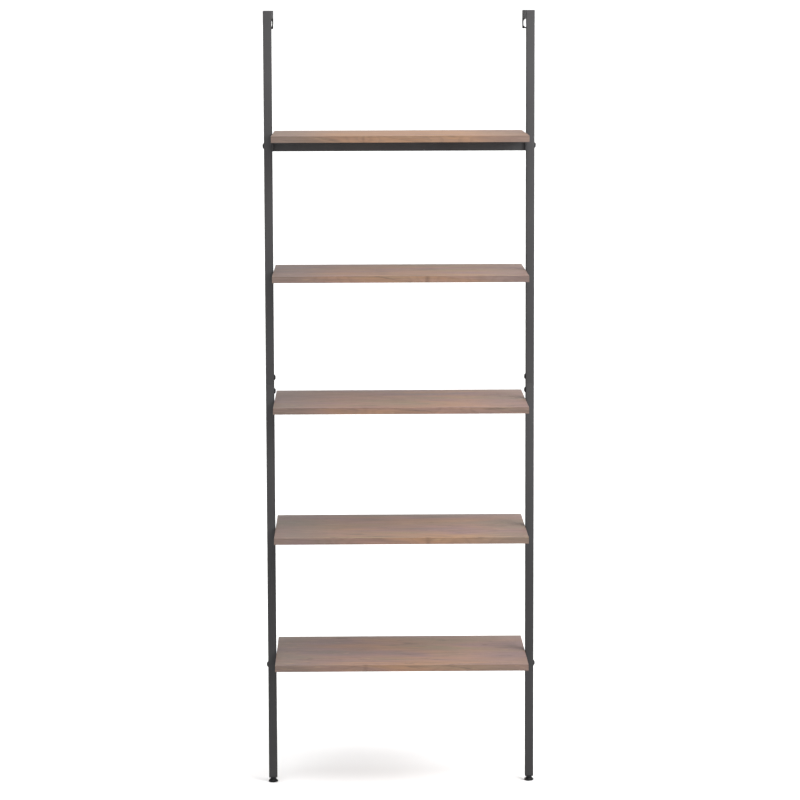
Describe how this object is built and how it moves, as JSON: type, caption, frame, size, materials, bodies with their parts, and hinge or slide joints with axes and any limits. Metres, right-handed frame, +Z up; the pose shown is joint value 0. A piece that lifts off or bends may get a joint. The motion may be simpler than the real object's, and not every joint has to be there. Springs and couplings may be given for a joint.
{
  "type": "ladder shelf",
  "caption": "Tall narrow wall shelf: wood-decor boards between two slim black square posts with levelling feet, tied back to the wall at the top.",
  "frame": {"origin": "on the floor, at the middle of the shelf's width and depth", "axes": "+Z up, +Y to the wall, +X to the right as seen from the front"},
  "size_m": [0.6468, 0.35, 1.855],
  "materials": {
    "powder_coat": "fine-textured black powder coat, satin",
    "decor_board": "rustic grey-brown wood decor on particle board, matt",
    "black_plastic": "moulded black plastic, matt",
    "dark_zinc": "black zinc on steel, semi-gloss",
    "plain_steel": "plain zinc-plated steel"
  },
  "bodies": {
    "frame": {"post_lower_left": "powder_coat", "post_upper_left": "powder_coat", "post_sleeve_left": "plain_steel", "sleeve_nuts_left": "plain_steel", "post_joint_bolts_left": "dark_zinc", "wall_arm_left": "powder_coat", "wall_plate_left": "powder_coat", "foot_insert_left": "black_plastic", "shelf_arm_1_left": "powder_coat", "shelf_arm_2_left": "powder_coat", "shelf_arm_3_left": "powder_coat", "shelf_arm_4_left": "powder_coat", "shelf_arm_5_left": "powder_coat", "post_lower_right": "powder_coat", "post_upper_right": "powder_coat", "post_sleeve_right": "plain_steel", "sleeve_nuts_right": "plain_steel", "post_joint_bolts_right": "dark_zinc", "wall_arm_right": "powder_coat", "wall_plate_right": "powder_coat", "foot_insert_right": "black_plastic", "shelf_arm_1_right": "powder_coat", "shelf_arm_2_right": "powder_coat", "shelf_arm_3_right": "powder_coat", "shelf_arm_4_right": "powder_coat", "shelf_arm_5_right": "powder_coat", "shelf_board_1": "decor_board", "shelf_screws_1": "dark_zinc", "shelf_board_2": "decor_board", "shelf_screws_2": "dark_zinc", "shelf_board_3": "decor_board", "shelf_screws_3": "dark_zinc", "shelf_board_4": "decor_board", "shelf_screws_4": "dark_zinc", "shelf_board_5": "decor_board", "shelf_screws_5": "dark_zinc", "bottom_rail": "powder_coat", "bottom_rail_end_plates": "plain_steel", "bottom_rail_bolts": "dark_zinc", "top_rail": "powder_coat", "top_rail_end_plates": "plain_steel", "top_rail_bolts": "dark_zinc"},
    "pad_left": {"foot_pad_left": "black_plastic"},
    "stud_left": {"foot_stud_left": "dark_zinc"},
    "pad_right": {"foot_pad_right": "black_plastic"},
    "stud_right": {"foot_stud_right": "dark_zinc"}
  },
  "joints": [
    {"name": "foot_height_left", "type": "slide", "parent": "frame", "child": "pad_left", "axis": [0, 0, -1], "range_m": [0, 0.012]},
    {"name": "foot_turn_left", "type": "hinge", "parent": "pad_left", "child": "stud_left", "pos_m": [-0.31, 0, 0.006], "axis": [0, 0, -1], "range_deg": [-5, 3460]},
    {"name": "foot_height_right", "type": "slide", "parent": "frame", "child": "pad_right", "axis": [0, 0, -1], "range_m": [0, 0.012]},
    {"name": "foot_turn_right", "type": "hinge", "parent": "pad_right", "child": "stud_right", "pos_m": [0.31, 0, 0.006], "axis": [0, 0, -1], "range_deg": [-5, 3460]}
  ],
  "couplings": [
    {"joint": "foot_turn_left", "follows": "foot_height_left", "rad_per_m": 5026.5},
    {"joint": "foot_turn_right", "follows": "foot_height_right", "rad_per_m": 5026.5}
  ]
}
